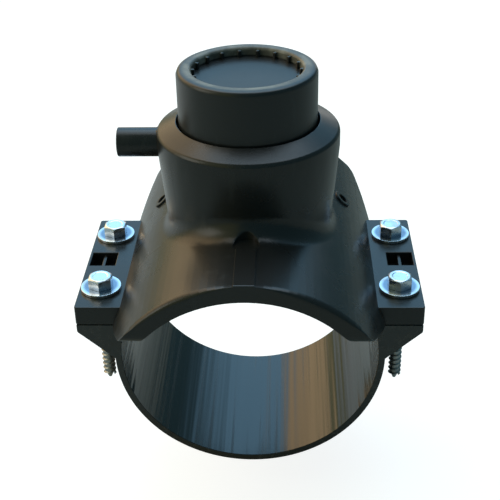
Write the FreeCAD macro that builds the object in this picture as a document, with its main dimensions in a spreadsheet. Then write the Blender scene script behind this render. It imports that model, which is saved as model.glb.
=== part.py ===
import FreeCAD, Part
import math
import os
import re

import Sketcher
from FreeCAD import Placement, Rotation, Vector

# Electrofusion repair saddle for a plastic pressure pipe.
# Millimetres. The pipe's axis is Y, the tower stands along +Z, and the origin is
# on the pipe's axis under the middle of the tower.

doc = FreeCAD.newDocument("repair_fitting")

# Driving dimensions
SIZES = [
    ("pipe_radius", 55.0, "outside radius of the pipe, and of the fusion face"),
    ("saddle_wall", 7.4, "thickness of the saddle's arch"),
    ("saddle_length", 155.0, "saddle, along the pipe"),
    ("skirt_height", 36.5, "lower edge of the arch at its two ends, above the pipe's axis"),
    ("skirt_rounding", 5.0, "corner of the arch at its lower ends"),
    ("parting_height", 19.0, "underside of the lugs, above the pipe's axis"),
    ("lug_length", 79.0, "lugs and under-clamp, along the pipe"),
    ("lug_reach", 76.0, "outer face of a lug, from the middle plane"),
    ("lug_thickness", 9.0, ""),
    ("lug_rounding", 1.2, "upright corners of the lugs"),
    ("pocket_reach", 13.0, "pocket, inwards from the lug's outer face"),
    ("pocket_width", 11.5, "pocket, along the pipe"),
    ("pocket_offset", 1.8, "its middle, behind the middle of the lug"),
    ("pocket_depth", 6.0, ""),
    ("pocket_wall", 1.4, "wall left between a pocket and the lug's outer face"),
    ("pocket_rib", 1.6, "rib that divides a pocket"),
    ("pocket_rib_drop", 1.5, "top of that rib, below the lug's top"),
    ("tower_radius", 36.1, "tower at its root inside the arch; it widens up to the collar"),
    ("tower_fillet", 9.0, "hollow round at the tower's foot"),
    ("collar_radius", 39.7, ""),
    ("collar_foot", 88.0, "where the tower's taper ends and the collar starts"),
    ("collar_top", 99.5, "at the well"),
    ("collar_edge", 95.3, "outer edge of the collar's sloping top"),
    ("collar_chamfer", 0.8, "along that edge"),
    ("well_radius", 31.0, "well in the collar that takes the cap's skirt"),
    ("well_floor", 84.0, ""),
    ("neck_radius", 26.5, "threaded neck"),
    ("neck_top", 112.0, ""),
    ("outlet_radius", 17.0, "bore through the crown, below the bush"),
    ("bush_radius", 21.0, "outside of the brass bush"),
    ("bush_floor", 80.0, "seat of the bush"),
    ("bush_length", 26.0, ""),
    ("running_gap", 0.05, "radial gap of a thread or pin that turns or slides"),
    ("loose_gap", 0.3, "gap round rings, seals and at the parting plane"),
    ("terminal_height", 88.5, "axis of the terminals"),
    ("terminal_reach", 57.0, "open end of a terminal shroud, from the tower's axis"),
    ("shroud_radius", 6.4, ""),
    ("shroud_bore", 4.6, ""),
    ("shroud_depth", 13.0, ""),
    ("terminal_radius", 2.0, ""),
    ("terminal_recess", 3.0, "pin's end, inside the shroud's end"),
    ("terminal_root", 6.0, "length of pin held in the wall"),
    ("terminal_root_radius", 1.5, ""),
    ("indicator_angle", 43.4, "degrees round the pipe from the top"),
    ("indicator_offset", 28.0, "from the tower's axis, along the pipe"),
    ("indicator_boss", 4.6, "radius of the raised rim"),
    ("indicator_rim", 0.9, "height of the rim above the arch"),
    ("indicator_bore", 2.4, ""),
    ("indicator_length", 3.4, ""),
    ("indicator_floor", 2.2, "wall left under the indicator"),
    ("crest_rib_width", 8.6, "alignment rib along the crest"),
    ("crest_rib_height", 0.5, ""),
    ("gate_radius", 5.2, "recess at the front of the tower's foot"),
    ("gate_offset", 9.1, "its centre, in front of the tower's root"),
    ("gate_floor", 62.0, ""),
    ("carrier_inner", 20.5, "coil carrier, seen from above"),
    ("carrier_outer", 47.0, ""),
    ("carrier_thickness", 2.0, ""),
    ("coil_start", 23.5, "radius of the coil's first half turn"),
    ("coil_pitch", 4.4, ""),
    ("coil_wire", 1.0, "width of the heating wire"),
    ("coil_depth", 0.8, ""),
    ("cap_radius", 30.0, ""),
    ("cap_foot", 86.0, "lower edge of the cap"),
    ("cap_top", 122.8, ""),
    ("cap_rounding", 2.4, ""),
    ("dish_radius", 23.6, "recess in the cap's top"),
    ("dish_depth", 4.0, ""),
    ("dish_chamfer", 0.9, "inner edge of the rim"),
    ("grip_count", 18, "ribs round the recess, which a cap key takes hold of"),
    ("grip_width", 1.6, ""),
    ("grip_reach", 1.5, "rib, inwards from the recess's wall"),
    ("grip_drop", 1.1, "top of a rib, below the cap's top"),
    ("gasket_thickness", 2.2, "between the cap and the neck's end"),
    ("plug_radius", 16.0, "threaded stopper plug"),
    ("plug_foot", 72.0, ""),
    ("plug_length", 30.0, ""),
    ("plug_nose_radius", 7.0, ""),
    ("plug_nose_length", 7.0, ""),
    ("plug_key", 14.0, "hexagon socket, across flats"),
    ("plug_key_depth", 12.0, ""),
    ("ring_section", 2.8, "square section of the plug's ring"),
    ("ring_height", 77.5, "middle of that ring"),
    ("seal_radius", 14.5, ""),
    ("seal_length", 11.2, ""),
    ("clamp_bore", 57.0, "inside radius of the under-clamp"),
    ("clamp_centre", 2.0, "centre of that bore, above the pipe's axis"),
    ("clamp_wall", 3.0, ""),
    ("flange_inset", 0.2, "flange's outer face, inside the lug's"),
    ("flange_edge", 15.0, "outer corner of the flange's sloping underside"),
    ("flange_foot", -0.6, "where that slope ends in the clamp's wall"),
    ("flange_rounding", 1.5, ""),
    ("screw_inset", 9.8, "screw's axis, inside the lug's outer face"),
    ("screw_along", 47.8, "distance between screws along the pipe"),
    ("screw_radius", 3.0, ""),
    ("screw_length", 50.0, "under the head"),
    ("screw_point", 3.0, "tapered length at the tip"),
    ("screw_tip", 0.6, "radius of the blunt tip"),
    ("screw_hole_gap", 0.4, "radial gap in lugs and washers"),
    ("head_key", 10.0, "hexagon head, across flats"),
    ("head_height", 5.0, ""),
    ("head_chamfer", 0.6, ""),
    ("washer_radius", 9.0, ""),
    ("washer_thickness", 1.6, ""),
]

sheet = doc.addObject("Spreadsheet::Sheet", "Sizes")
size = {}
for row, (alias, number, meaning) in enumerate(SIZES, start=1):
    sheet.set(f"A{row}", alias)
    sheet.set(f"B{row}", str(number))
    sheet.setAlias(f"B{row}", alias)
    sheet.set(f"C{row}", meaning)
    size[alias] = number
doc.recompute()


def formula(text):
    """Point every size named in the text at its cell."""
    return re.sub(r"[a-z]\w*", lambda word: f"Sizes.{word[0]}" if word[0] in size else word[0], text)


def bind(thing, **properties):
    """Tie properties to formulas. A double underscore in a name stands for a dot."""
    for name, text in properties.items():
        thing.setExpression(name.replace("__", "."), formula(text))


# Sketches
FAR = "(2 * lug_reach + 2 * cap_top)"
ROW_ENDS = (-1, 1)


def new_body(name):
    body = doc.addObject("PartDesign::Body", name)
    body.Label = name
    return body


def new_sketch(body, role, offset="0"):
    """A sketch on one of the body's own planes, moved along the plane's normal."""
    plane = next(item for item in body.Origin.OriginFeatures if item.Role == role)
    sketch = body.newObject("Sketcher::SketchObject", f"{body.Name}_sketch")
    sketch.AttachmentSupport = [(plane, "")]
    sketch.MapMode = "FlatFace"
    bind(sketch, AttachmentOffset__Base__z=offset)
    return sketch


def dimension(sketch, kind, *place, text):
    index = sketch.addConstraint(Sketcher.Constraint(kind, *place, 1.0))
    sketch.setExpression(f"Constraints[{index}]", formula(text))


def add_outline(sketch, corners):
    """A closed outline of straight lines. Each corner is dimensioned from the origin."""
    count = len(corners)
    first = sketch.GeometryCount
    ring = [Vector(math.cos(math.tau * k / count), math.sin(math.tau * k / count), 0) for k in range(count)]
    for k in range(count):
        sketch.addGeometry(Part.LineSegment(ring[k], ring[(k + 1) % count]))
    for k, (across, up) in enumerate(corners):
        line = first + k
        next_line = first + (k + 1) % count
        sketch.addConstraint(Sketcher.Constraint("Coincident", line, 2, next_line, 1))
        dimension(sketch, "DistanceX", -1, 1, line, 1, text=across)
        dimension(sketch, "DistanceY", -1, 1, line, 1, text=up)


def add_circle(sketch, across, up, radius):
    circle = sketch.addGeometry(Part.Circle(Vector(0, 0, 0), Vector(0, 0, 1), 1))
    dimension(sketch, "DistanceX", -1, 1, circle, 3, text=across)
    dimension(sketch, "DistanceY", -1, 1, circle, 3, text=up)
    dimension(sketch, "Radius", circle, text=radius)


def add_hexagon(sketch, across_flats):
    """A regular hexagon round the origin, with two corners on the X axis."""
    corner = f"{across_flats} / sqrt(3)"
    half = f"0.5 * {across_flats}"
    corners = [(f"{corner} * {side}", f"{half} * {up}") for side, up in
               ((1, 0), (0.5, 1), (-0.5, 1), (-1, 0), (-0.5, -1), (0.5, -1))]
    add_outline(sketch, corners)


# Features
def turn(body, kind, corners):
    """Turn an outline of the XZ plane round the upright axis, to add or remove material."""
    sketch = new_sketch(body, "XZ_Plane")
    add_outline(sketch, corners)
    feature = body.newObject(f"PartDesign::{kind}", f"{body.Name}_{kind.lower()}")
    feature.Profile = sketch
    feature.ReferenceAxis = (sketch, ["V_Axis"])
    feature.Angle = 360
    return feature


def extrude(body, kind, sketch, length, both_ways=False, backwards=False):
    feature = body.newObject(f"PartDesign::{kind}", f"{body.Name}_{kind.lower()}")
    feature.Profile = sketch
    if both_ways:
        feature.SideType = "Symmetric"
    feature.Reversed = backwards
    bind(feature, Length=length)
    return feature


def edges_where(feature, test):
    """Names of the edges whose whole length passes the test."""
    doc.recompute()
    names = []
    for number, edge in enumerate(feature.Shape.Edges, start=1):
        span = edge.LastParameter - edge.FirstParameter
        points = [edge.valueAt(edge.FirstParameter + span * share) for share in (0.02, 0.35, 0.65, 0.98)]
        if all(test(point) for point in points):
            names.append(f"Edge{number}")
    return names


def near(a, b):
    return abs(a - b) < 0.01


def round_edges(body, feature, radius, test, kind="Fillet"):
    names = edges_where(feature, test)
    if not names:
        raise RuntimeError(f"{body.Label}: no edge to round with {radius}")
    finish = body.newObject(f"PartDesign::{kind}", f"{body.Name}_{kind.lower()}")
    finish.Base = (feature, names)
    bind(finish, **{"Radius" if kind == "Fillet" else "Size": radius})
    return finish


def radial(point):
    return math.hypot(point.x, point.y)


def rounded(across, up, radius):
    """An outer top corner of a turned outline, rounded in two flats of 45 degrees."""
    middle = f"(1 - sqrt(0.5)) * {radius}"
    return [(across, f"{up} - {radius}"), (f"{across} - {middle}", f"{up} - {middle}"),
            (f"{across} - {radius}", up)]


# The upper saddle: arch, lugs, tower, collar and neck, moulded in one piece
def make_saddle():
    body = new_body("saddle_moulding")
    arch = new_sketch(body, "XZ_Plane")
    add_circle(arch, "0", "0", "pipe_radius + saddle_wall")
    extrude(body, "Pad", arch, "saddle_length", both_ways=True)

    # The lower edge of the arch slopes from its ends down to the lugs
    skirt = new_sketch(body, "YZ_Plane")
    add_outline(skirt, [
        (f"-{FAR}", "skirt_height"), ("-0.5 * saddle_length", "skirt_height"),
        ("-0.5 * lug_length", "parting_height"), ("0.5 * lug_length", "parting_height"),
        ("0.5 * saddle_length", "skirt_height"), (FAR, "skirt_height"),
        (FAR, f"-{FAR}"), (f"-{FAR}", f"-{FAR}")])
    cut = extrude(body, "Pocket", skirt, FAR, both_ways=True)
    end = size["saddle_length"] / 2
    round_edges(body, cut, "skirt_rounding",
                lambda p: near(abs(p.y), end) and near(p.z, size["skirt_height"]))

    lugs = new_sketch(body, "XZ_Plane")
    top = "parting_height + lug_thickness"
    add_outline(lugs, [("-lug_reach", "parting_height"), ("lug_reach", "parting_height"),
                       ("lug_reach", top), ("-lug_reach", top)])
    block = extrude(body, "Pad", lugs, "lug_length", both_ways=True)
    half = size["lug_length"] / 2
    round_edges(body, block, "lug_rounding",
                lambda p: near(abs(p.x), size["lug_reach"]) and near(abs(p.y), half))

    # Two indicator rims stand on the shoulders, square to the arch
    for side in ROW_ENDS:
        rim = indicator_sketch(body, side, "0")
        add_circle(rim, "0", "0", "indicator_boss")
        extrude(body, "Pad", rim, "pipe_radius + saddle_wall + indicator_rim")

    # The tower widens a little upwards, and the collar's top slopes outwards
    slope = "(collar_top - collar_edge) / (collar_radius - well_radius)"
    tower = turn(body, "Revolution", [
        ("0", "pipe_radius - saddle_wall"), ("tower_radius", "pipe_radius - saddle_wall"),
        ("collar_radius", "collar_foot"), ("collar_radius", "collar_edge - collar_chamfer"),
        ("collar_radius - collar_chamfer", f"collar_edge + collar_chamfer * {slope}"),
        ("well_radius", "collar_top"), ("neck_radius", "collar_top"), ("neck_radius", "neck_top"),
        ("0", "neck_top")])
    arch_radius = size["pipe_radius"] + size["saddle_wall"]
    round_edges(body, tower, "tower_fillet",
                lambda p: near(math.hypot(p.x, p.z), arch_radius) and radial(p) < size["collar_radius"])

    # A low rib marks the crest, and a round recess is left where the mould was filled
    rib = new_sketch(body, "XZ_Plane")
    crest = "pipe_radius + saddle_wall + crest_rib_height"
    add_outline(rib, [("-0.5 * crest_rib_width", "0"), ("0.5 * crest_rib_width", "0"),
                      ("0.5 * crest_rib_width", crest), ("-0.5 * crest_rib_width", crest)])
    extrude(body, "Pad", rib, "saddle_length", both_ways=True)
    gate = new_sketch(body, "XY_Plane", "gate_floor")
    add_circle(gate, "0", "-(tower_radius + gate_offset)", "gate_radius")
    extrude(body, "Pocket", gate, "tower_fillet + gate_radius", backwards=True)

    # Two shrouds for the terminals, one to the side and one to the back
    for role in ("YZ_Plane", "XZ_Plane"):
        shroud = new_sketch(body, role)
        add_circle(shroud, "0", "terminal_height", "shroud_radius")
        extrude(body, "Pad", shroud, "terminal_reach", backwards=True)
        cavity = new_sketch(body, role, "-terminal_reach")
        add_circle(cavity, "0", "terminal_height", "shroud_bore")
        extrude(body, "Pocket", cavity, "shroud_depth", backwards=True)
        root = new_sketch(body, role, "-(terminal_reach - shroud_depth)")
        add_circle(root, "0", "terminal_height", "terminal_root_radius")
        extrude(body, "Pocket", root, "terminal_root", backwards=True)

    # Well round the neck, and the bores down through the tower
    turn(body, "Groove", [
        ("neck_radius", "well_floor"), ("well_radius", "well_floor"),
        ("well_radius", "collar_top + cap_radius"), ("neck_radius", "collar_top + cap_radius")])
    turn(body, "Groove", [
        ("0", "0"), ("outlet_radius", "0"), ("outlet_radius", "bush_floor"),
        ("bush_radius", "bush_floor"), ("bush_radius", "neck_top + cap_radius"),
        ("0", "neck_top + cap_radius")])

    bore = new_sketch(body, "XZ_Plane")
    add_circle(bore, "0", "0", "pipe_radius")
    extrude(body, "Pocket", bore, FAR, both_ways=True)

    for side in ROW_ENDS:
        well = indicator_sketch(body, side, "pipe_radius + indicator_floor")
        add_circle(well, "0", "0", "indicator_bore")
        extrude(body, "Pocket", well, "saddle_wall + indicator_rim", backwards=True)

    # Pockets between the screws, each with a rib across
    rib_middle = "lug_reach - 0.5 * (pocket_reach + pocket_wall)"
    for side in ROW_ENDS:
        pocket = new_sketch(body, "XY_Plane", top)
        low, high = "pocket_offset - 0.5 * pocket_width", "pocket_offset + 0.5 * pocket_width"
        inner, outer = f"{side} * (lug_reach - pocket_reach)", f"{side} * (lug_reach - pocket_wall)"
        add_outline(pocket, [(inner, low), (outer, low), (outer, high), (inner, high)])
        extrude(body, "Pocket", pocket, "pocket_depth")
        wall = new_sketch(body, "XY_Plane", f"{top} - pocket_depth")
        near_side = f"{side} * ({rib_middle} - 0.5 * pocket_rib)"
        far_side = f"{side} * ({rib_middle} + 0.5 * pocket_rib)"
        add_outline(wall, [(near_side, low), (far_side, low), (far_side, high), (near_side, high)])
        extrude(body, "Pad", wall, "pocket_depth - pocket_rib_drop")

    holes = new_sketch(body, "XY_Plane", top)
    for across, along in screw_places():
        add_circle(holes, across, along, "screw_radius + screw_hole_gap")
    extrude(body, "Pocket", holes, FAR)
    return body


def indicator_sketch(body, side, height):
    """A sketch square to the arch at an indicator. There is one on each shoulder."""
    sketch = new_sketch(body, "XY_Plane")
    turned = Rotation(Vector(0, 1, 0), 1)
    sketch.AttachmentOffset = Placement(Vector(0, 0, 0), turned)
    bind(sketch, AttachmentOffset__Rotation__Angle=f"{side} * indicator_angle",
         AttachmentOffset__Base__x=f"{side} * ({height}) * sin(indicator_angle)",
         AttachmentOffset__Base__y="indicator_offset",
         AttachmentOffset__Base__z=f"({height}) * cos(indicator_angle)")
    return sketch


def screw_places():
    return [(f"{x} * (lug_reach - screw_inset)", f"{y} * 0.5 * screw_along") for y in ROW_ENDS for x in ROW_ENDS]


# Coil carrier and heating coil, laid into the fusion face
def face_layer(name, depth):
    """A thin layer of the fusion face, from the pipe outwards, over the whole length."""
    outer = doc.addObject("Part::Cylinder", f"{name}_outer")
    bind(outer, Radius=f"pipe_radius + {depth}")
    inner = doc.addObject("Part::Cylinder", f"{name}_inner")
    bind(inner, Radius="pipe_radius")
    for tube in (outer, inner):
        tube.Placement = Placement(Vector(0, 0, 0), Rotation(Vector(1, 0, 0), 90))
        bind(tube, Height="2 * carrier_outer", Placement__Base__y="carrier_outer")
    layer = doc.addObject("Part::Cut", f"{name}_layer")
    layer.Base, layer.Tool = outer, inner
    return layer


def make_carrier_blank():
    rim = doc.addObject("Part::Cylinder", "carrier_rim")
    bind(rim, Radius="carrier_outer", Height="pipe_radius + saddle_wall")
    eye = doc.addObject("Part::Cylinder", "carrier_eye")
    bind(eye, Radius="carrier_inner", Height="pipe_radius + saddle_wall")
    plan = doc.addObject("Part::Cut", "carrier_plan")
    plan.Base, plan.Tool = rim, eye
    blank = doc.addObject("Part::Common", "carrier_blank")
    blank.Base, blank.Tool = plan, face_layer("carrier", "carrier_thickness")
    return blank


def spiral_edges(start, pitch, half_turns, offset):
    """Half circles about two centres in turn, each half a pitch larger than the last."""
    edges = []
    for step in range(half_turns):
        up = step % 2 == 0
        middle = Vector(0 if up else pitch / 2, 0, 0)
        radius = start + step * pitch / 2 + offset
        first = 0 if up else math.pi
        circle = Part.Circle(middle, Vector(0, 0, 1), radius)
        edges.append(circle.toShape(first, first + math.pi))
    return edges


def make_coil():
    """The wire, wound flat as a spiral and pressed into the carrier's hollow face."""
    start, pitch = size["coil_start"], size["coil_pitch"]
    half_wire = size["coil_wire"] / 2
    turns = int((size["carrier_outer"] - start - half_wire) / pitch)
    inner = spiral_edges(start, pitch, 2 * turns, -half_wire)
    outer = spiral_edges(start, pitch, 2 * turns, half_wire)
    ends = [Part.makeLine(inner[0].valueAt(inner[0].FirstParameter), outer[0].valueAt(outer[0].FirstParameter)),
            Part.makeLine(inner[-1].valueAt(inner[-1].LastParameter), outer[-1].valueAt(outer[-1].LastParameter))]
    strip = Part.Face(Part.Wire(Part.__sortEdges__(inner + outer + ends)))
    wall = doc.addObject("Part::Feature", "coil_wall")
    wall.Shape = strip.extrude(Vector(0, 0, size["pipe_radius"] + size["saddle_wall"]))
    coil = doc.addObject("Part::Common", "heating_coil")
    coil.Base, coil.Tool = wall, face_layer("coil", "coil_depth")
    return coil


# Inside the tower
def make_bush():
    body = new_body("threaded_bush")
    top = "bush_floor + bush_length"
    bore = "plug_radius + running_gap"
    turn(body, "Revolution", [
        (bore, "bush_floor"), ("bush_radius", "bush_floor"), ("bush_radius", top), (bore, top)])
    return body


def make_plug():
    body = new_body("stopper_plug")
    top = "plug_foot + plug_length"
    gland = "outlet_radius - 2 * loose_gap - ring_section"
    gland_low = "ring_height - 0.5 * ring_section - loose_gap"
    gland_high = "ring_height + 0.5 * ring_section + loose_gap"
    turn(body, "Revolution", [
        ("0", "plug_foot - plug_nose_length"), ("plug_nose_radius", "plug_foot - plug_nose_length"),
        ("plug_nose_radius", "plug_foot"), ("plug_radius", "plug_foot"),
        ("plug_radius", gland_low), (gland, gland_low), (gland, gland_high),
        ("plug_radius", gland_high), ("plug_radius", top), ("0", top)])
    socket = new_sketch(body, "XY_Plane", top)
    add_hexagon(socket, "plug_key")
    extrude(body, "Pocket", socket, "plug_key_depth")
    return body


def make_seal():
    body = new_body("stopper_seal")
    top = "plug_foot - loose_gap"
    foot = f"{top} - seal_length"
    cup = "plug_foot - plug_nose_length - loose_gap"
    turn(body, "Revolution", [
        ("0", foot), ("seal_radius", foot), ("seal_radius", top), ("plug_nose_radius + loose_gap", top),
        ("plug_nose_radius + loose_gap", cup), ("0", cup)])
    return body


def make_ring(name, inner, outer, low, high):
    """A rubber ring of rectangular section."""
    body = new_body(name)
    turn(body, "Revolution", [(inner, low), (outer, low), (outer, high), (inner, high)])
    return body


# Screw cap
def make_cap():
    body = new_body("screw_cap")
    bore = "neck_radius + running_gap"
    roof = "neck_top + gasket_thickness"
    turn(body, "Revolution", [
        ("0", roof), (bore, roof), (bore, "cap_foot"), ("cap_radius", "cap_foot"),
        *rounded("cap_radius", "cap_top", "cap_rounding"), ("dish_radius + dish_chamfer", "cap_top"),
        ("dish_radius", "cap_top - dish_chamfer"), ("dish_radius", "cap_top - dish_depth"),
        ("0", "cap_top - dish_depth")])

    # Ribs stand on the floor of the recess, against its wall
    outline = new_sketch(body, "XY_Plane", "cap_top - dish_depth")
    inner, outer = "dish_radius - grip_reach", "0.5 * (dish_radius + cap_radius)"
    add_outline(outline, [(inner, "-0.5 * grip_width"), (outer, "-0.5 * grip_width"),
                          (outer, "0.5 * grip_width"), (inner, "0.5 * grip_width")])
    grip = extrude(body, "Pad", outline, "dish_depth - grip_drop")
    ring = body.newObject("PartDesign::PolarPattern", "cap_grips")
    ring.Originals = [grip]
    ring.Axis = (outline, ["N_Axis"])
    ring.Angle = 360
    bind(ring, Occurrences="grip_count")
    body.Tip = ring
    return body


# Under-clamp
def make_clamp():
    body = new_body("lower_clamp")
    top = "parting_height - loose_gap"
    reach = "lug_reach - flange_inset"
    shell = new_sketch(body, "XZ_Plane")
    add_circle(shell, "0", "clamp_centre", "clamp_bore + clamp_wall")
    extrude(body, "Pad", shell, "lug_length", both_ways=True)
    flange = new_sketch(body, "XZ_Plane")
    foot = "clamp_bore + 0.5 * clamp_wall"
    add_outline(flange, [
        (f"-({reach})", top), (reach, top), (reach, "flange_edge"), (foot, "flange_foot"),
        (f"-({foot})", "flange_foot"), (f"-({reach})", "flange_edge")])
    wedge = extrude(body, "Pad", flange, "lug_length", both_ways=True)
    outer = size["lug_reach"] - size["flange_inset"]
    round_edges(body, wedge, "flange_rounding",
                lambda p: near(abs(p.x), outer) and near(p.z, size["flange_edge"]))
    above = new_sketch(body, "XY_Plane", top)
    add_outline(above, [(f"-{FAR}", f"-{FAR}"), (FAR, f"-{FAR}"), (FAR, FAR), (f"-{FAR}", FAR)])
    extrude(body, "Pocket", above, FAR, backwards=True)
    bore = new_sketch(body, "XZ_Plane")
    add_circle(bore, "0", "clamp_centre", "clamp_bore")
    extrude(body, "Pocket", bore, FAR, both_ways=True)
    holes = new_sketch(body, "XY_Plane", top)
    for across, along in screw_places():
        add_circle(holes, across, along, "screw_radius + running_gap")
    extrude(body, "Pocket", holes, FAR)
    return body


# Fasteners and small pieces
def make_screw(name, across, along):
    """A hexagon screw with a coarse thread and a tapered point."""
    body = new_body(name)
    tip = "-screw_length"
    turn(body, "Revolution", [
        ("0", tip), ("screw_tip", tip), ("screw_radius", f"{tip} + screw_point"),
        ("screw_radius", "0"), ("0", "0")])
    hexagon = new_sketch(body, "XY_Plane")
    add_hexagon(hexagon, "head_key")
    head = extrude(body, "Pad", hexagon, "head_height")
    round_edges(body, head, "head_chamfer", lambda p: near(p.z, size["head_height"]), kind="Chamfer")
    bind(body, Placement__Base__x=across, Placement__Base__y=along,
         Placement__Base__z="parting_height + lug_thickness + washer_thickness")
    return body


def make_washer(name, across, along):
    body = new_body(name)
    ring = new_sketch(body, "XY_Plane")
    add_circle(ring, "0", "0", "washer_radius")
    add_circle(ring, "0", "0", "screw_radius + screw_hole_gap")
    extrude(body, "Pad", ring, "washer_thickness")
    bind(body, Placement__Base__x=across, Placement__Base__y=along,
         Placement__Base__z="parting_height + lug_thickness")
    return body


def make_terminal(name, direction):
    """A contact pin that stands in its shroud on a thinner root, moulded into the wall."""
    start = "(terminal_reach - shroud_depth)"
    steps = [("contact", "terminal_radius", start, "shroud_depth - terminal_recess"),
             ("root", "terminal_root_radius", f"({start} - terminal_root)", "terminal_root")]
    lengths = []
    for part, radius, foot, length in steps:
        step = doc.addObject("Part::Cylinder", f"{name}_{part}")
        step.Placement = Placement(Vector(0, 0, 0), Rotation(Vector(0, 0, 1), direction))
        bind(step, Radius=radius, Height=length, Placement__Base__x=f"{foot} * {direction.x}",
             Placement__Base__y=f"{foot} * {direction.y}", Placement__Base__z="terminal_height")
        lengths.append(step)
    pin = doc.addObject("Part::Fuse", name)
    pin.Base, pin.Tool = lengths
    return pin


def make_indicator(name, side):
    """A fusion indicator, which the melt pushes up out of its hole."""
    body = new_body(name)
    disc = indicator_sketch(body, side, "pipe_radius + indicator_floor")
    add_circle(disc, "0", "0", "indicator_bore - running_gap")
    extrude(body, "Pad", disc, "indicator_length")
    return body


# Build every piece
pieces = {}
blank = make_carrier_blank()
coil = make_coil()
saddle = doc.addObject("Part::Cut", "saddle_body")
saddle.Base, saddle.Tool = make_saddle(), blank
carrier = doc.addObject("Part::Cut", "coil_carrier")
carrier.Base, carrier.Tool = blank, coil
pieces["saddle_body"] = saddle
pieces["coil_carrier"] = carrier
pieces["heating_coil"] = coil
pieces["threaded_bush"] = make_bush()
pieces["stopper_plug"] = make_plug()
pieces["stopper_seal"] = make_seal()
pieces["stopper_ring"] = make_ring(
    "stopper_ring", "outlet_radius - loose_gap - ring_section", "outlet_radius - loose_gap",
    "ring_height - 0.5 * ring_section", "ring_height + 0.5 * ring_section")
pieces["screw_cap"] = make_cap()
pieces["cap_gasket"] = make_ring(
    "cap_gasket", "bush_radius", "neck_radius - loose_gap", "neck_top", "neck_top + gasket_thickness")
pieces["lower_clamp"] = make_clamp()
for number, (across, along) in enumerate(screw_places(), start=1):
    pieces[f"clamp_screw_{number}"] = make_screw(f"clamp_screw_{number}", across, along)
    pieces[f"screw_washer_{number}"] = make_washer(f"screw_washer_{number}", across, along)
pieces["terminal_pin_side"] = make_terminal("terminal_pin_side", Vector(-1, 0, 0))
pieces["terminal_pin_back"] = make_terminal("terminal_pin_back", Vector(0, 1, 0))
pieces["indicator_pin_left"] = make_indicator("indicator_pin_left", -1)
pieces["indicator_pin_right"] = make_indicator("indicator_pin_right", 1)
for name, piece in pieces.items():
    piece.Label = name
doc.recompute()

# Check every object and every piece before anything is written
for item in doc.Objects:
    if "Invalid" in item.State or "Error" in item.State:
        raise RuntimeError(f"{item.Label}: {item.State}")
for name, piece in pieces.items():
    shape = piece.Shape
    if shape.isNull() or not shape.isValid() or shape.Volume <= 0:
        raise RuntimeError(f"{name} has no valid shape")
    if len(shape.Solids) != 1:
        raise RuntimeError(f"{name} has {len(shape.Solids)} solids")

os.makedirs("parts", exist_ok=True)
for name, piece in pieces.items():
    piece.Shape.exportStep(os.path.join("parts", f"{name}.step"))
    print(f"{name:22s} {piece.Shape.Volume / 1000:9.3f} cm3  {len(piece.Shape.Faces):4d} faces")
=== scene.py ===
import math

import bmesh
import bpy
from mathutils import Matrix, Vector


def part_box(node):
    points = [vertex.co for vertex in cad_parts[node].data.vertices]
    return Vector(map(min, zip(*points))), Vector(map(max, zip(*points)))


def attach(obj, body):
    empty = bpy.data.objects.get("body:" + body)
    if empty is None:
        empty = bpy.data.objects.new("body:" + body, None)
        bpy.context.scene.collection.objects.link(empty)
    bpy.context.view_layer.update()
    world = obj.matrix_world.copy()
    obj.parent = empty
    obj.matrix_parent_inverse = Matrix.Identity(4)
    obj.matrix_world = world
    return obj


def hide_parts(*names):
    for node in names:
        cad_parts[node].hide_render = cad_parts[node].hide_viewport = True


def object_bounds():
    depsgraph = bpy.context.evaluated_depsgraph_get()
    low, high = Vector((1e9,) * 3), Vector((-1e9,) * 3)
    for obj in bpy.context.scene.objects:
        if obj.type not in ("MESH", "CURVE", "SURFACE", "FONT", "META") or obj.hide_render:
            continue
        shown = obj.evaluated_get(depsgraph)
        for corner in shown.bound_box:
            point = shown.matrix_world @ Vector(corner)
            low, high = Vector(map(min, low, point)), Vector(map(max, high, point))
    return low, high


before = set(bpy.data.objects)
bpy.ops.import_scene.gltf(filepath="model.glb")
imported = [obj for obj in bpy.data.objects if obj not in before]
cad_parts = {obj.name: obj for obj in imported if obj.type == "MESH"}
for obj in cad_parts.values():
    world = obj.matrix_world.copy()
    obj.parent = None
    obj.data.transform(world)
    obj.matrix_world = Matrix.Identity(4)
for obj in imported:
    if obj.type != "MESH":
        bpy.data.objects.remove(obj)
cad_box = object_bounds()
MM = 0.001


# The saddle
# One heavy moulding in black polyethylene: the arch that is welded to the pipe, its four lugs, and the tower.
# Its mesh is the CAD node's, joined up and with its edges rounded as the mould leaves them.
PLASTIC_BLACK = (0.013, 0.014, 0.0135, 1)
PLASTIC_GLOSS = 0.28
PLASTIC_GRAIN = 0.02 * MM
# Pale grey for the cap's dust and painted sheen.
DUST_AND_SHEEN_GREY = (0.3, 0.3, 0.26, 1)
FLOW_SCALE = 28
SCUFF_SCALE = 160
PORE_SCALE = 1500
SADDLE_EDGE = 0.4 * MM
ARCH_EDGE = 2.5 * MM
ARCH_EDGE_TURNS = (0, 25, 47, 68)
ARCH_RADIUS = 62.4 * MM
ARCH_END = 77.5 * MM
CREST_WIDTH = 4.4 * MM
CREST_TAPER = 22 * MM
CORNER_HEIGHT = 40 * MM
CORNER_TAPER = 11 * MM
MERGE_DISTANCE = 0.001 * MM
FLAT_LIMIT = math.radians(0.6)
SMOOTH_LIMIT = math.radians(24)


class Value:
    """A shader socket. Arithmetic on it adds the Math nodes to its material."""

    def __init__(self, shading, socket):
        self.shading = shading
        self.socket = socket

    def maths(self, operation, first, second):
        return self.shading.node("ShaderNodeMath", {"operation": operation}, {0: first, 1: second})

    def __add__(self, other):
        return self.maths("ADD", self, other)

    def __sub__(self, other):
        return self.maths("SUBTRACT", self, other)

    def __rsub__(self, other):
        return self.maths("SUBTRACT", other, self)

    def __mul__(self, other):
        return self.maths("MULTIPLY", self, other)

    def __abs__(self):
        return self.maths("ABSOLUTE", self, 0)

    __radd__ = __add__
    __rmul__ = __mul__


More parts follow.
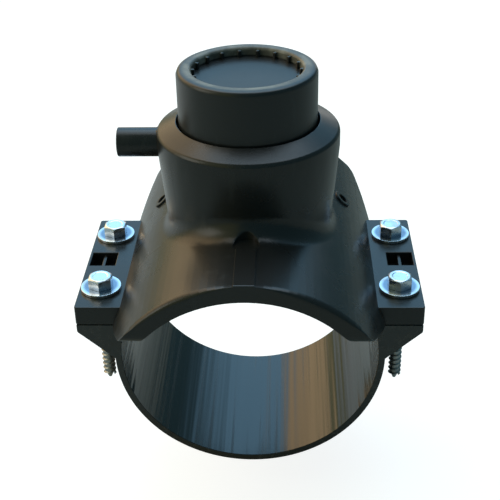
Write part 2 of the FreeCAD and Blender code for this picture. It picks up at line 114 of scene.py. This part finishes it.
class Shading:
    """A node tree, and the methods that add nodes to it."""

    def __init__(self, tree):
        self.tree = tree

    def feed(self, node, sockets):
        for key, value in sockets.items():
            if isinstance(value, Value):
                self.tree.links.new(value.socket, node.inputs[key])
            else:
                node.inputs[key].default_value = value

    def node(self, kind, settings=None, sockets=None, output=0):
        """Any node: its settings are set first, then the values or links of its sockets."""
        node = self.tree.nodes.new(kind)
        for name, value in (settings or {}).items():
            setattr(node, name, value)
        self.feed(node, sockets or {})
        return Value(self, node.outputs[output])

    def ramp(self, factor, low, high):
        """The factor's stretch from low to high, spread smoothly over 0 to 1."""
        return self.node("ShaderNodeMapRange", {"interpolation_type": "SMOOTHSTEP"},
                         {"Value": factor, "From Min": low, "From Max": high})

    def mix(self, factor, first, second):
        """A colour between two others."""
        return self.node("ShaderNodeMix", {"data_type": "RGBA"}, {0: factor, 6: first, 7: second}, output=2)

    def noise(self, place, scale, detail):
        """A cloudy pattern, with so many lumps to the metre."""
        return self.node("ShaderNodeTexNoise", {}, {"Vector": place, "Scale": scale, "Detail": detail})

    def coordinate(self, place, axis):
        """A place's X, Y or Z."""
        return self.node("ShaderNodeSeparateXYZ", {}, {0: place}, output=axis)


class Finish(Shading):
    """A material with one Principled shader."""

    def __init__(self, name):
        self.material = bpy.data.materials.new(name)
        self.material.use_nodes = True
        super().__init__(self.material.node_tree)
        self.shader = self.tree.nodes["Principled BSDF"]

    def place(self, stretch=(1, 1, 1)):
        """Object coordinates in metres, stretched where a pattern runs one way."""
        here = self.node("ShaderNodeTexCoord", output=3)
        return self.node("ShaderNodeMapping", {}, {"Vector": here, "Scale": stretch})

    def bump(self, height, distance, strength, normal=None):
        sockets = {"Height": height, "Distance": distance, "Strength": strength}
        if normal is not None:
            sockets["Normal"] = normal
        return self.node("ShaderNodeBump", {}, sockets)


def shaded(colour, share):
    """A colour, darker or paler by a share."""
    return tuple(share * part for part in colour[:3]) + (1,)


def moulded_plastic(name, colour, gloss, grain, scuffing, dust_and_sheen=None):
    """Black polyethylene: a satin skin with faint flow marks, pale scuffs, and a pale grey of dust and
    painted sheen where its caller's mask says.
    """
    finish = Finish(name)
    flow = finish.noise(finish.place(), FLOW_SCALE, 5)
    pores = finish.noise(finish.place(), PORE_SCALE, 2)
    scratches = finish.noise(finish.place((1, 1, 0.25)), SCUFF_SCALE, 8)
    scuff = finish.ramp(scratches, 0.60, 0.78) * scuffing
    skin = finish.mix(scuff, colour, shaded(colour, 3.2))
    roughness = (flow - 0.5) * 0.22 + gloss + scuff * 0.25
    if dust_and_sheen:
        # Dust and painted sheen: the mask's places turn pale grey and a little rougher.
        dust_and_sheen_mask = dust_and_sheen(finish)
        skin = finish.mix(dust_and_sheen_mask, skin, DUST_AND_SHEEN_GREY)
        roughness = roughness + dust_and_sheen_mask * 0.2
    finish.feed(finish.shader, {
        "Base Color": skin,
        "Roughness": roughness,
        "Normal": finish.bump(pores, grain, 0.5, finish.bump(flow, 12 * grain, 0.25)),
    })
    return finish.material


def paint(piece, material):
    piece.data.materials.clear()
    piece.data.materials.append(material)


def select_only(piece):
    bpy.ops.object.select_all(action="DESELECT")
    piece.select_set(True)
    bpy.context.view_layer.objects.active = piece


def finish_with(piece, kind, **settings):
    """Adds a modifier and applies it."""
    modifier = piece.modifiers.new(kind.title(), kind)
    for name, value in settings.items():
        setattr(modifier, name, value)
    select_only(piece)
    bpy.ops.object.modifier_apply(modifier=modifier.name)


def joined_copy(node, name):
    """The node's mesh as a new piece, its loose triangles merged and its flats made whole."""
    piece = bpy.data.objects.new(name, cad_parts[node].data.copy())
    bpy.context.scene.collection.objects.link(piece)
    select_only(piece)
    bpy.ops.object.mode_set(mode="EDIT")
    bpy.ops.mesh.select_all(action="SELECT")
    bpy.ops.mesh.remove_doubles(threshold=MERGE_DISTANCE)
    bpy.ops.mesh.customdata_custom_splitnormals_clear()
    bpy.ops.mesh.dissolve_limited(angle_limit=FLAT_LIMIT)
    bpy.ops.object.mode_set(mode="OBJECT")
    return piece


def round_edges(piece, width, segments=2):
    """Rounds the edges that stand out. Those in a hollow stay sharp."""
    mesh = bmesh.new()
    mesh.from_mesh(piece.data)
    weight = mesh.edges.layers.float.new("bevel_weight_edge")
    for edge in mesh.edges:
        edge[weight] = edge.is_convex and edge.calc_face_angle(0) > SMOOTH_LIMIT
    mesh.to_mesh(piece.data)
    mesh.free()
    finish_with(piece, "BEVEL", width=width, segments=segments, limit_method="WEIGHT",
                use_clamp_overlap=False, miter_outer="MITER_ARC", harden_normals=False)


def cut_across(piece, along):
    """Adds a ring of edges across the piece, at a distance along the pipe."""
    select_only(piece)
    bpy.ops.object.mode_set(mode="EDIT")
    bpy.ops.mesh.select_all(action="SELECT")
    bpy.ops.mesh.bisect(plane_co=(0, along, 0), plane_no=(0, 1, 0))
    bpy.ops.object.mode_set(mode="OBJECT")


def round_arch_ends(piece):
    """Draws the arch's outer skin in along a round at both ends, less towards the crest and the corners."""
    start = ARCH_END - ARCH_EDGE
    for turn in ARCH_EDGE_TURNS:
        along = start + ARCH_EDGE * math.sin(math.radians(turn))
        cut_across(piece, along)
        cut_across(piece, -along)
    slack = 0.05 * MM
    innermost = ARCH_RADIUS - SADDLE_EDGE - slack
    outermost = ARCH_RADIUS + slack
    for corner in piece.data.vertices:
        x, y, z = corner.co
        radius = math.hypot(x, z)
        past = min(abs(y) - start, ARCH_EDGE)
        if past > 0 and innermost < radius < outermost:
            crest = max(0, abs(x) - CREST_WIDTH) / CREST_TAPER
            foot = max(0, z - CORNER_HEIGHT) / CORNER_TAPER
            fall = (ARCH_EDGE - math.sqrt(ARCH_EDGE ** 2 - past ** 2)) * min(1, crest, foot)
            corner.co.x *= 1 - fall / radius
            corner.co.z *= 1 - fall / radius


def stay_inside(piece, node):
    """Brings back what the rounding pushed a hair past the node's ends."""
    low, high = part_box(node)
    for corner in piece.data.vertices:
        corner.co.y = min(max(corner.co.y, low.y), high.y)


def shade(piece):
    """Smooth over small angles, with the large faces left true."""
    select_only(piece)
    bpy.ops.object.shade_smooth_by_angle(angle=SMOOTH_LIMIT)
    finish_with(piece, "WEIGHTED_NORMAL", keep_sharp=True, weight=100)


def mount(piece, body, node):
    """Sets a finished piece on its body, in place of the node that it stands for."""
    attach(piece, body)
    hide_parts(node)


saddle_plastic = moulded_plastic("Saddle polyethylene", PLASTIC_BLACK, PLASTIC_GLOSS, PLASTIC_GRAIN,
                                 scuffing=0.35)
saddle = joined_copy("saddle_body", "saddle_moulding")
round_edges(saddle, SADDLE_EDGE)
round_arch_ends(saddle)
stay_inside(saddle, "saddle_body")
shade(saddle)
paint(saddle, saddle_plastic)
mount(saddle, "saddle", "saddle_body")


# The under-clamp
# A half shell in the same black polyethylene, with a flange along each side that the screws pull up. Its bore
# is glossy from the mould, and marked lengthwise by the pipes that were tried in it.
CLAMP_BLACK = (0.007, 0.009, 0.008, 1)
CLAMP_SOIL = (0.026, 0.024, 0.02, 1)
CLAMP_GLOSS = 0.15
CLAMP_SHINE = 0.8
CLAMP_EDGE = 0.4 * MM
WAVE_SCALE = 85
WAVE_DEPTH = 1.3 * MM
STREAK_SCALE = 420


def streaked_plastic(name, colour, soiled):
    """Glossy polyethylene with long streaks along the pipe, some of them dull and soiled."""
    finish = Finish(name)
    waves = finish.noise(finish.place((1, 0.02, 1)), WAVE_SCALE, 3)
    streaks = finish.noise(finish.place((1, 0.012, 1)), STREAK_SCALE, 4)
    dull = finish.ramp(streaks, 0.5, 0.7)
    pores = finish.noise(finish.place(), PORE_SCALE, 2)
    finish.feed(finish.shader, {
        "Base Color": finish.mix(dull, colour, soiled),
        "Roughness": dull * 0.2 + (waves - 0.5) * 0.2 + CLAMP_GLOSS,
        "Specular IOR Level": CLAMP_SHINE,
        "Normal": finish.bump(pores, 0.012 * MM, 0.4, finish.bump(waves, WAVE_DEPTH, 0.8)),
    })
    return finish.material


clamp_plastic = streaked_plastic("Clamp polyethylene", CLAMP_BLACK, CLAMP_SOIL)
clamp = joined_copy("lower_clamp", "clamp_shell")
round_edges(clamp, CLAMP_EDGE)
shade(clamp)
paint(clamp, clamp_plastic)
mount(clamp, "clamp", "lower_clamp")


# The clamp screws and their washers
# Four hexagon-head screws in bright zinc plate, with a coarse thread that cuts its own way into the flange.
# They go down through the lugs and draw the under-clamp up. Their heads turn on washers of the same plate.
SCREW_ACROSS = 66.2 * MM
SCREW_ALONG = 23.9 * MM
HEAD_KEY = 10 * MM
HEAD_HEIGHT = 5 * MM
HEAD_EDGE = 0.18 * MM
HEAD_FLAT = 4.4 * MM
HEAD_SLOPE = math.radians(30)
HEAD_HOLLOW = 0.25 * MM
CORE_RADIUS = 2.35 * MM
TIP_RADIUS = 0.7 * MM
TIP_LENGTH = 4 * MM
SHANK_SIDES = 32
THREAD_ROOT = 0.8 * CORE_RADIUS
THREAD_CREST = 2.95 * MM
THREAD_PITCH = 2.5 * MM
THREAD_START = 0.4 * TIP_LENGTH
THREAD_LENGTH = 46 * MM - THREAD_START
THREAD_SIDES = 24
WASHER_EDGE = 0.3 * MM
ZINC_HEAD = (0.8, 0.85, 0.92, 1)
# Painted shade: the thread and shank get a zinc half as bright as the head's, for the shade below the lugs.
SHADED_ZINC_THREAD = (0.4, 0.4, 0.39, 1)
ZINC_WASHER = (0.78, 0.81, 0.86, 1)
# Painted shade on the washers: the colour and the reach of the dark blue ring round each head.
HEAD_SHADE_BLUE = (0.15, 0.22, 0.33, 1)
HEAD_SHADE_INNER = 6.6 * MM
HEAD_SHADE_OUTER = 8.4 * MM


def zinc(name, colour, roughness, head_shade=None):
    """Bright zinc plate: faintly blue, cloudy, duller where it was handled, and darkened to blue with painted
    shade where its caller's mask says.
    """
    finish = Finish(name)
    cloud = finish.noise(finish.place(), 220, 6)
    dull = finish.ramp(cloud, 0.45, 0.7)
    skin = finish.mix(dull, colour, shaded(colour, 0.82))
    # Painted shade: the washer turns dark blue round the screw's head.
    if head_shade:
        skin = finish.mix(head_shade(finish), skin, HEAD_SHADE_BLUE)
    finish.feed(finish.shader, {
        "Metallic": 1.0,
        "Base Color": skin,
        "Roughness": dull * 0.16 + roughness,
        "Normal": finish.bump(cloud, 0.05 * MM, 0.35),
    })
    return finish.material


def painted_head_shade(finish):
    """Painted shade on a washer: a dark blue ring round its screw's head. All four lie alike about the
    middle.
    """
    sideways = abs(finish.coordinate(finish.place(), "X")) - SCREW_ACROSS
    endways = abs(finish.coordinate(finish.place(), "Y")) - SCREW_ALONG
    squared = sideways * sideways + endways * endways
    return finish.ramp(squared, HEAD_SHADE_OUTER ** 2, HEAD_SHADE_INNER ** 2) * 0.85


def new_piece(name):
    """Names the primitive that was just added, with its place in its mesh."""
    piece = bpy.context.object
    piece.name = name
    bpy.ops.object.transform_apply(location=True, rotation=True, scale=True)
    return piece


def edit_faces(piece, test):
    """Opens the piece for editing with only the faces selected that pass the test."""
    select_only(piece)
    bpy.ops.object.mode_set(mode="EDIT")
    bpy.ops.mesh.select_mode(type="FACE")
    bpy.ops.mesh.select_all(action="DESELECT")
    bpy.ops.object.mode_set(mode="OBJECT")
    for face in piece.data.polygons:
        face.select = test(face)
    bpy.ops.object.mode_set(mode="EDIT")


def step(rise, scale, axis):
    """Extrudes the selected faces along Z and draws them in or out about the axis."""
    bpy.ops.mesh.extrude_region_move(TRANSFORM_OT_translate={"value": (0, 0, rise)})
    bpy.ops.transform.resize(value=(scale, scale, 1), center_override=axis)


def turned(name, axis, outline, sides=96):
    """A solid of revolution. The outline gives its radius and height from the lower face upwards."""
    (radius, foot), last, *rest = outline
    bpy.ops.object.select_all(action="DESELECT")
    bpy.ops.mesh.primitive_cylinder_add(vertices=sides, radius=radius, depth=last[1] - foot,
                                        location=(axis[0], axis[1], (foot + last[1]) / 2))
    piece = new_piece(name)
    edit_faces(piece, lambda face: face.normal.z > 0.9)
    scale = last[0] / radius
    bpy.ops.transform.resize(value=(scale, scale, 1), center_override=axis)
    for point in rest:
        step(point[1] - last[1], point[0] / last[0], axis)
        last = point
    bpy.ops.object.mode_set(mode="OBJECT")
    return piece


def screw_head(axis, foot):
    """A hexagon whose corners are cut off by the cone of its chamfer, with a shallow hollow in its top."""
    corner = HEAD_KEY / math.sqrt(3)
    bpy.ops.object.select_all(action="DESELECT")
    bpy.ops.mesh.primitive_cylinder_add(vertices=6, radius=corner, depth=HEAD_HEIGHT,
                                        location=(axis[0], axis[1], foot + HEAD_HEIGHT / 2))
    head = new_piece("head")
    top = foot + HEAD_HEIGHT
    fall = (corner - HEAD_FLAT) * math.tan(HEAD_SLOPE)
    blank = turned("head_blank", axis, [
        (corner, foot - MM), (corner, top - fall), (HEAD_FLAT, top),
        (0.8 * HEAD_FLAT, top + MERGE_DISTANCE), (0.7 * HEAD_FLAT, top - HEAD_HOLLOW),
    ])
    finish_with(head, "BOOLEAN", operation="INTERSECT", object=blank, solver="EXACT")
    bpy.data.objects.remove(blank)
    return head


def thread(name, axis, foot):
    """A ridge of pointed section, wound upwards round the core."""
    half = 0.42 * THREAD_PITCH
    bpy.ops.object.select_all(action="DESELECT")
    bpy.ops.mesh.primitive_circle_add(vertices=3, radius=half, rotation=(math.pi / 2, math.pi / 2, 0))
    ridge = new_piece(name)
    inner = min(corner.co.x for corner in ridge.data.vertices)
    outer = max(corner.co.x for corner in ridge.data.vertices)
    for corner in ridge.data.vertices:
        share = (corner.co.x - inner) / (outer - inner)
        corner.co.x = THREAD_ROOT + share * (THREAD_CREST - THREAD_ROOT)
    turns = int(THREAD_LENGTH / THREAD_PITCH)
    finish_with(ridge, "SCREW", angle=math.tau, screw_offset=THREAD_PITCH, iterations=turns,
                steps=THREAD_SIDES, render_steps=THREAD_SIDES, use_merge_vertices=False)
    select_only(ridge)
    bpy.ops.object.mode_set(mode="EDIT")
    bpy.ops.mesh.select_all(action="SELECT")
    bpy.ops.mesh.fill_holes(sides=3)
    bpy.ops.mesh.normals_make_consistent(inside=False)
    bpy.ops.object.mode_set(mode="OBJECT")
    ridge.location = (axis[0], axis[1], foot)
    bpy.ops.object.transform_apply(location=True, rotation=False, scale=False)
    return ridge


def joined(name, *parts):
    """One piece out of several."""
    select_only(parts[0])
    for part in parts[1:]:
        part.select_set(True)
    bpy.ops.object.join()
    parts[0].name = name
    return parts[0]


zinc_screw = zinc("Zinc screw", ZINC_HEAD, roughness=0.24)
# The darker zinc on the thread and shank is painted shade.
shaded_zinc_thread = zinc("Zinc thread in painted shade", SHADED_ZINC_THREAD, roughness=0.36)
zinc_washer = zinc("Zinc washer", ZINC_WASHER, roughness=0.2, head_shade=painted_head_shade)
for number in (1, 2, 3, 4):
    low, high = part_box(f"clamp_screw_{number}")
    axis = ((low.x + high.x) / 2, (low.y + high.y) / 2, 0)
    seat = high.z - HEAD_HEIGHT
    head = screw_head(axis, seat)
    round_edges(head, HEAD_EDGE)
    tip = low.z + TIP_LENGTH
    shank = turned("shank", axis, [(TIP_RADIUS, low.z), (CORE_RADIUS, tip), (CORE_RADIUS, seat)], SHANK_SIDES)
    ridge = thread("ridge", axis, low.z + THREAD_START)
    paint(head, zinc_screw)
    paint(shank, shaded_zinc_thread)
    paint(ridge, shaded_zinc_thread)
    screw = joined(f"screw_{number}", head, shank, ridge)
    shade(screw)
    mount(screw, f"screw_{number}", f"clamp_screw_{number}")

    washer = joined_copy(f"screw_washer_{number}", f"washer_{number}")
    round_edges(washer, WASHER_EDGE, 3)
    shade(washer)
    paint(washer, zinc_washer)
    mount(washer, "saddle", f"screw_washer_{number}")


# The screw cap
# A black polyethylene cap that screws onto the tower's neck. Its top is a shallow dish with eighteen ribs
# round the wall, which a cap key takes hold of. It is moulded in one piece, so every edge is a little round.
CAP_BLACK = (0.014, 0.016, 0.017, 1)
CAP_GLOSS = 0.3
CAP_GRAIN = 0.015 * MM
CAP_EDGE = 0.5 * MM
DISH_RADIUS = 23.6 * MM
DISH_FLOOR = 118.8 * MM


def rim_dust_and_sheen(finish):
    """Dust and a painted sheen in patches on the wall of the dish and on the inner part of the rim."""
    across = finish.coordinate(finish.place(), "X")
    along = finish.coordinate(finish.place(), "Y")
    height = finish.coordinate(finish.place(), "Z")
    squared = across * across + along * along
    inside = finish.ramp(squared, (DISH_RADIUS - 0.6 * MM) ** 2, (DISH_RADIUS - 0.1 * MM) ** 2)
    outside = finish.ramp(squared, (DISH_RADIUS + 5 * MM) ** 2, (DISH_RADIUS + 2 * MM) ** 2)
    patches = finish.ramp(finish.noise(finish.place(), 90, 6), 0.4, 0.65)
    raised = finish.ramp(height, DISH_FLOOR, DISH_FLOOR + MM)
    return inside * outside * raised * (patches * 0.6 + 0.3)


# The dish wall and the inner rim carry dust and a painted sheen.
cap_plastic = moulded_plastic("Cap polyethylene", CAP_BLACK, CAP_GLOSS, CAP_GRAIN,
                              scuffing=0.3, dust_and_sheen=rim_dust_and_sheen)
cap = joined_copy("screw_cap", "cap_shell")
round_edges(cap, CAP_EDGE, 3)
shade(cap)
paint(cap, cap_plastic)
mount(cap, "cap", "screw_cap")


# The inner parts
# The bush, the plug and the contact pins are turned from brass, the coil is copper wire, and the seals are
# rubber. The coil's carrier and the indicators are of the saddle's polyethylene. All keep the CAD's meshes.
BRASS = (0.78, 0.6, 0.3, 1)
CONTACT_BRASS = (0.82, 0.68, 0.4, 1)
COPPER = (0.85, 0.42, 0.25, 1)
RUBBER_BLACK = (0.02, 0.02, 0.02, 1)
RUBBER_BLOOM = (0.075, 0.075, 0.072, 1)


def turned_brass(name, colour, roughness):
    """Brass with the fine rings that the turning tool leaves, slightly tarnished in patches."""
    finish = Finish(name)
    tarnish = finish.ramp(finish.noise(finish.place(), 90, 6), 0.4, 0.72)
    rings = finish.noise(finish.place((0.05, 0.05, 1)), 5200, 1)
    finish.feed(finish.shader, {
        "Metallic": 1.0,
        "Base Color": finish.mix(tarnish, colour, shaded(colour, 0.62)),
        "Roughness": tarnish * 0.2 + roughness,
        "Normal": finish.bump(rings, 0.02 * MM, 0.4),
    })
    return finish.material


def moulded_rubber(name):
    """Matt black rubber with a bloom."""
    finish = Finish(name)
    bloom = finish.ramp(finish.noise(finish.place(), 130, 6), 0.45, 0.8)
    finish.feed(finish.shader, {
        "Base Color": finish.mix(bloom * 0.5, RUBBER_BLACK, RUBBER_BLOOM),
        "Roughness": bloom * 0.15 + 0.62,
        "Normal": finish.bump(finish.noise(finish.place(), 2600, 2), 0.03 * MM, 0.5),
    })
    return finish.material


brass = turned_brass("Turned brass", BRASS, roughness=0.24)
contact_brass = turned_brass("Contact brass", CONTACT_BRASS, roughness=0.16)
copper = turned_brass("Copper wire", COPPER, roughness=0.26)
rubber = moulded_rubber("Rubber")
FINISHES = {
    "coil_carrier": saddle_plastic,
    "indicator_pin_left": saddle_plastic,
    "indicator_pin_right": saddle_plastic,
    "heating_coil": copper,
    "threaded_bush": brass,
    "stopper_plug": brass,
    "stopper_seal": rubber,
    "stopper_ring": rubber,
    "cap_gasket": rubber,
    "terminal_pin_side": contact_brass,
    "terminal_pin_back": contact_brass,
}
for node, material in FINISHES.items():
    paint(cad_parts[node], material)


# The studio
# The camera stands where the photograph was taken from. Round the object are a pale floor, a room that shows
# in the gloss, and two soft lights.
FOCAL_PIXELS = 1048.34
PHOTO_WIDTH = 500
SENSOR_WIDTH = 36
CAMERA_PLACE = Vector((0.016871, -0.417332, 0.276914))
CAMERA_YAW = -0.0413696
CAMERA_PITCH = 0.5272142
CAMERA_ROLL = -0.0224604
forward = Vector((math.sin(CAMERA_YAW) * math.cos(CAMERA_PITCH),
                  math.cos(CAMERA_YAW) * math.cos(CAMERA_PITCH), -math.sin(CAMERA_PITCH)))
right = Vector((math.cos(CAMERA_YAW), -math.sin(CAMERA_YAW), 0))
above = right.cross(forward)
rolled_right = right * math.cos(CAMERA_ROLL) + above * math.sin(CAMERA_ROLL)
rolled_above = above * math.cos(CAMERA_ROLL) - right * math.sin(CAMERA_ROLL)
lens = bpy.data.cameras.new("Camera")
lens.sensor_width = SENSOR_WIDTH
lens.lens = FOCAL_PIXELS * SENSOR_WIDTH / PHOTO_WIDTH
camera = bpy.data.objects.new("Camera", lens)
camera.matrix_world = Matrix.Translation(CAMERA_PLACE) @ Matrix(
    (rolled_right, rolled_above, -forward)).transposed().to_4x4()
bpy.context.scene.collection.objects.link(camera)
bpy.context.scene.camera = camera

# The floor is white to the camera apart from the object's shadow. In the gloss it is lighter behind and on
# the left, and a plain grey elsewhere. It lies deep enough for the lowered under-clamp, and it is clear from
# below, where the fusion face is looked at.
CLAMP_DROP = 20 * MM
FLOOR_GAP = 0.5 * MM
FLOOR_SIZE = 8
FLOOR_GREY = (0.4, 0.44, 0.42, 1)
FLOOR_GLOW = 0.84
WHITE = (1, 1, 1, 1)
floor_height = cad_box[0][2] - CLAMP_DROP - FLOOR_GAP
bpy.ops.mesh.primitive_plane_add(size=FLOOR_SIZE, location=(0, 0, floor_height))
floor = bpy.context.object
floor.name = "floor"
pale = Finish("Pale floor")
pale.feed(pale.shader, {"Base Color": FLOOR_GREY, "Roughness": 1.0, "Specular IOR Level": 0.0})
lit = Value(pale, pale.shader.outputs[0])
glow = pale.node("ShaderNodeEmission", {}, {"Color": WHITE, "Strength": FLOOR_GLOW})
bright = pale.node("ShaderNodeAddShader", {}, {0: lit, 1: glow})
mirrored = pale.node("ShaderNodeLightPath", output="Is Glossy Ray")
behind = pale.ramp(pale.coordinate(pale.place(), "Y"), -0.1, 0.3)
leftwards = pale.ramp(pale.coordinate(pale.place(), "X"), 0.15, -0.1)
lighter = mirrored * behind * leftwards * 0.35
to_camera = pale.node("ShaderNodeLightPath", output="Is Camera Ray")
surface = pale.node("ShaderNodeMixShader", {}, {0: to_camera + lighter, 1: lit, 2: bright})
below = pale.node("ShaderNodeNewGeometry", output="Backfacing")
clear = pale.node("ShaderNodeBsdfTransparent")
surface = pale.node("ShaderNodeMixShader", {}, {0: below, 1: surface, 2: clear})
pale.tree.links.new(surface.socket, pale.tree.nodes["Material Output"].inputs["Surface"])
paint(floor, pale.material)

# The room has a blue sky behind and a warm wall on the left. It is dark at the right and at the front, where
# the camera stands.
SKY = (0.64, 1.26, 1.8, 1)
WARM_WALL = (1.75, 1.28, 0.74, 1)
LEFT_WALL = (0.36, 0.38, 0.2, 1)
WHITE_WALL = (1.2, 1.2, 1.15, 1)
DIM_WALL = (0.07, 0.15, 0.18, 1)
world = bpy.data.worlds.new("Studio")
bpy.context.scene.world = world
world.use_nodes = True
room = Shading(world.node_tree)
direction = room.node("ShaderNodeTexCoord")
across = room.coordinate(direction, "X")
away = room.coordinate(direction, "Y")
height = room.coordinate(direction, "Z")
left = room.ramp(across, -0.14, -0.44)
wall = room.mix(left, DIM_WALL, LEFT_WALL)
warm = left * room.ramp(height, 0.08, 0.22) * room.ramp(away, -0.2, 0.5)
wall = room.mix(warm, wall, WARM_WALL)
horizon = room.ramp(across, -0.35, -0.1) * room.ramp(across, 0.45, 0.25) * room.ramp(away, 0.2, 0.6)
wall = room.mix(horizon * room.ramp(height, 0.3, 0.12), wall, WHITE_WALL)
sky = room.ramp(height, 0.18, 0.48) * room.ramp(across, -0.45, -0.2)
sky = sky * room.ramp(across, 0.7, 0.1) * room.ramp(away, -0.1, 0.5)
seen = room.node("ShaderNodeLightPath", output="Is Camera Ray")
backdrop = room.mix(seen, room.mix(sky, wall, SKY), WHITE)
room.feed(world.node_tree.nodes["Background"], {"Color": backdrop, "Strength": 1.0})

OBJECT_MIDDLE = Vector((0, 0, 0.05))


def soft_light(name, place, size, power, colour):
    """A large lamp, turned to the middle of the object."""
    light = bpy.data.lights.new(name, "AREA")
    light.shape = "RECTANGLE"
    light.size, light.size_y = size
    light.energy = power
    light.color = colour
    lamp = bpy.data.objects.new(name, light)
    lamp.location = place
    lamp.rotation_euler = (OBJECT_MIDDLE - Vector(place)).to_track_quat("-Z", "Y").to_euler()
    bpy.context.scene.collection.objects.link(lamp)


soft_light("Overhead", place=(0, 0.25, 0.9), size=(0.9, 0.7), power=2.5, colour=(0.9, 0.96, 1))
soft_light("Left", place=(-0.9, -0.25, 0.45), size=(0.5, 0.6), power=1.5, colour=(1, 0.97, 0.9))
bpy.context.scene.view_settings.view_transform = "Standard"
